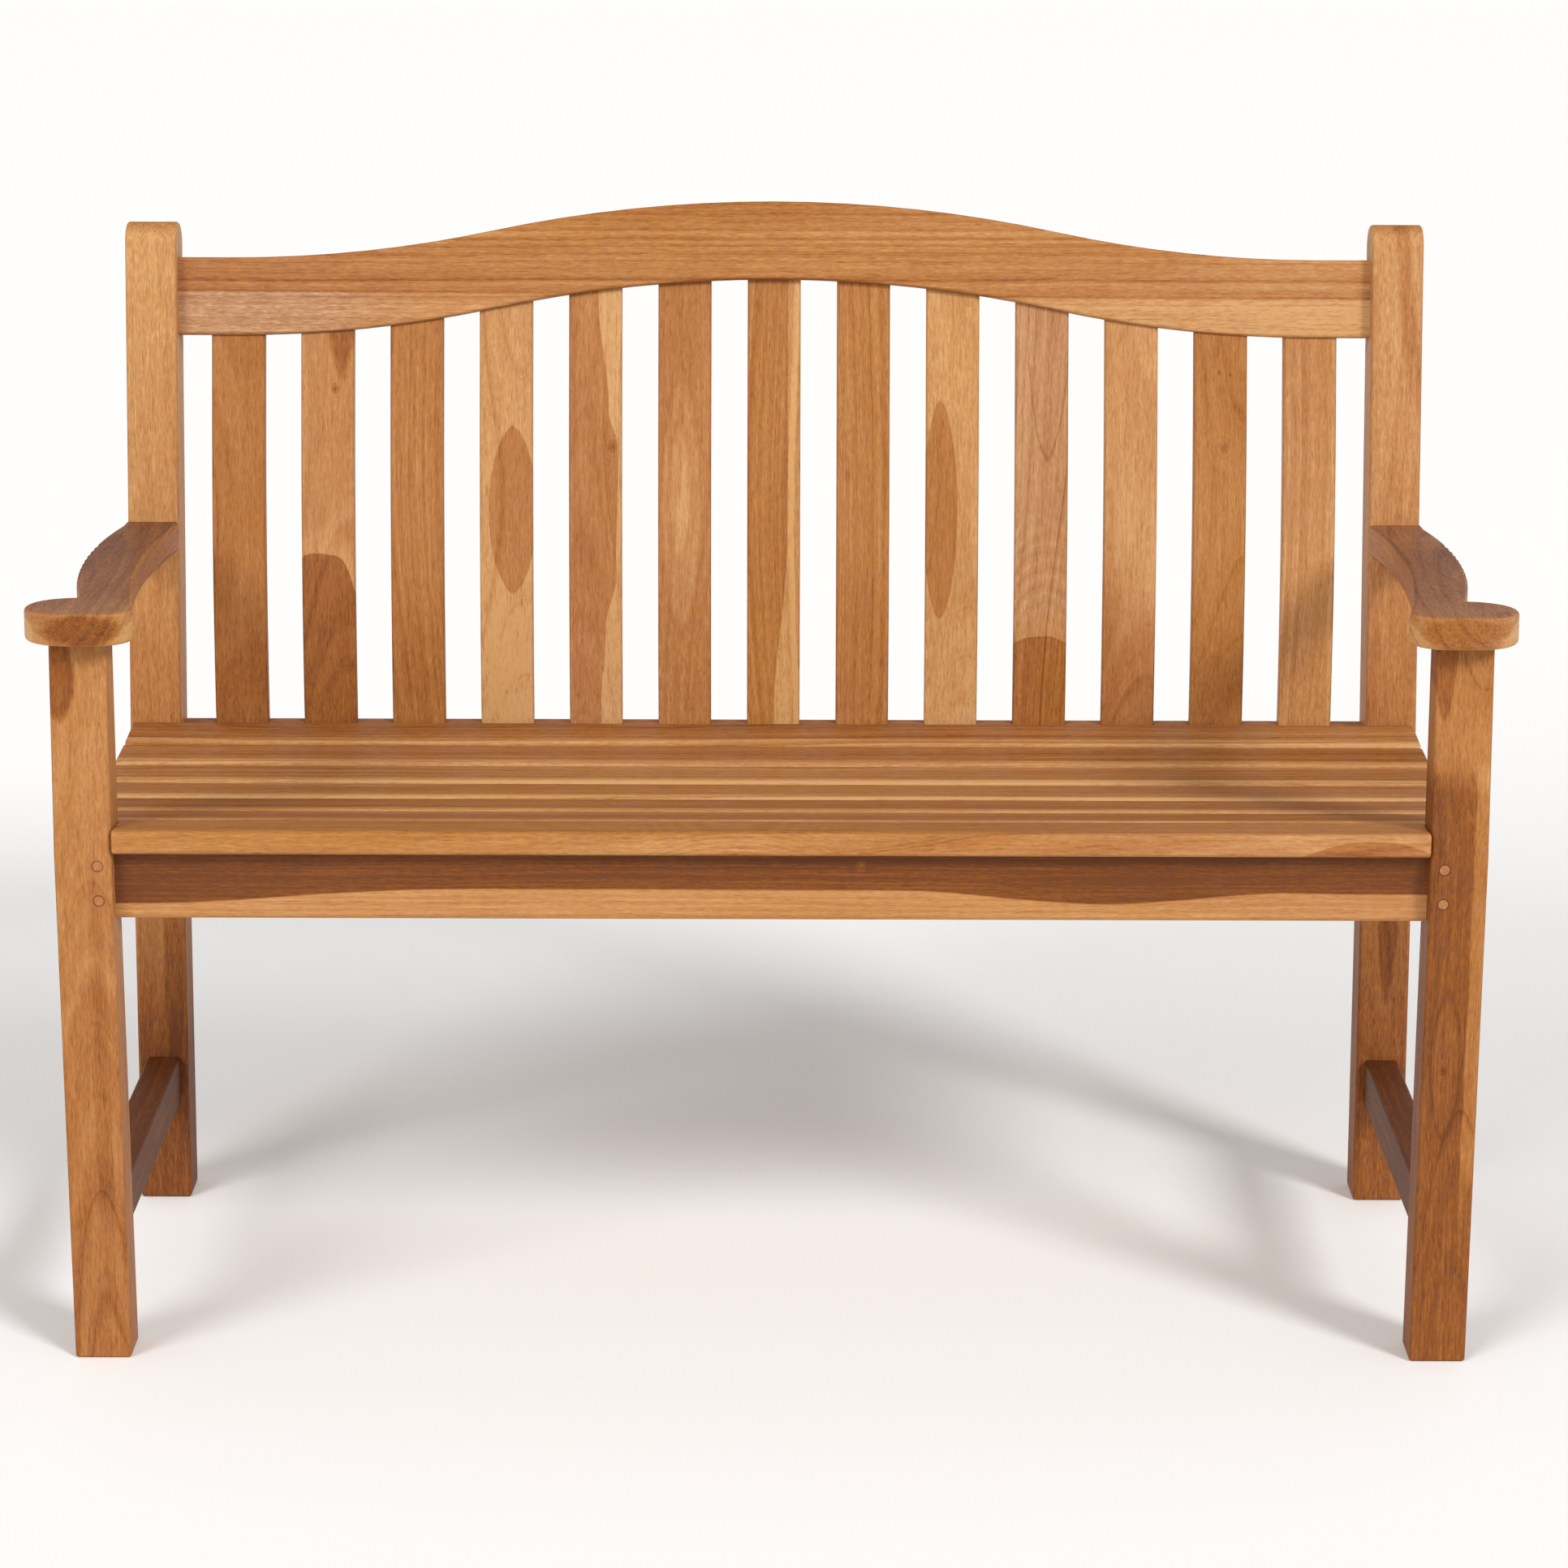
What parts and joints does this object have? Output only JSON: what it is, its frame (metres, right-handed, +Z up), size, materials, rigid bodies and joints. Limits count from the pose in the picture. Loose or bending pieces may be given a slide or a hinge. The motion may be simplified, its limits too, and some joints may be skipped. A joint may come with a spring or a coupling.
{
  "type": "garden bench",
  "caption": "Two-seat slatted hardwood garden bench with a curved crest rail, raked slatted back, hollow slatted seat and scrolled arms, joined by pegged mortise and tenon.",
  "frame": {"origin": "on the ground, under the middle of the bench's bounding box", "axes": "+X along the bench to the right as seen from the front, -Y the front that a sitter faces, +Z up"},
  "size_m": [1.206, 0.552, 0.9062],
  "materials": {
    "frame_wood": "oiled satin",
    "slat_wood": "oiled satin",
    "peg_wood": "end grain, oiled",
    "screw_steel": "stainless"
  },
  "bodies": {
    "root": {"apron_pegs": "peg_wood", "arm_left": "frame_wood", "arm_pegs": "peg_wood", "arm_right": "frame_wood", "back_slat_01": "slat_wood", "back_slat_02": "slat_wood", "back_slat_03": "slat_wood", "back_slat_04": "slat_wood", "back_slat_05": "slat_wood", "back_slat_06": "slat_wood", "back_slat_07": "slat_wood", "back_slat_08": "slat_wood", "back_slat_09": "slat_wood", "back_slat_10": "slat_wood", "back_slat_11": "slat_wood", "back_slat_12": "slat_wood", "back_slat_13": "slat_wood", "centre_bearer": "frame_wood", "crest_pegs": "peg_wood", "crest_rail": "frame_wood", "front_apron": "frame_wood", "front_leg_left": "frame_wood", "front_leg_right": "frame_wood", "front_seat_slat": "slat_wood", "lower_back_rail": "frame_wood", "lower_rail_pegs": "peg_wood", "rear_leg_left": "frame_wood", "rear_leg_right": "frame_wood", "seat_screws": "screw_steel", "seat_slat_1": "slat_wood", "seat_slat_2": "slat_wood", "seat_slat_3": "slat_wood", "seat_slat_4": "slat_wood", "seat_slat_5": "slat_wood", "seat_slat_6": "slat_wood", "side_rail_left": "frame_wood", "side_rail_pegs": "peg_wood", "side_rail_right": "frame_wood", "stretcher_left": "frame_wood", "stretcher_pegs": "peg_wood", "stretcher_right": "frame_wood"}
  },
  "joints": []
}
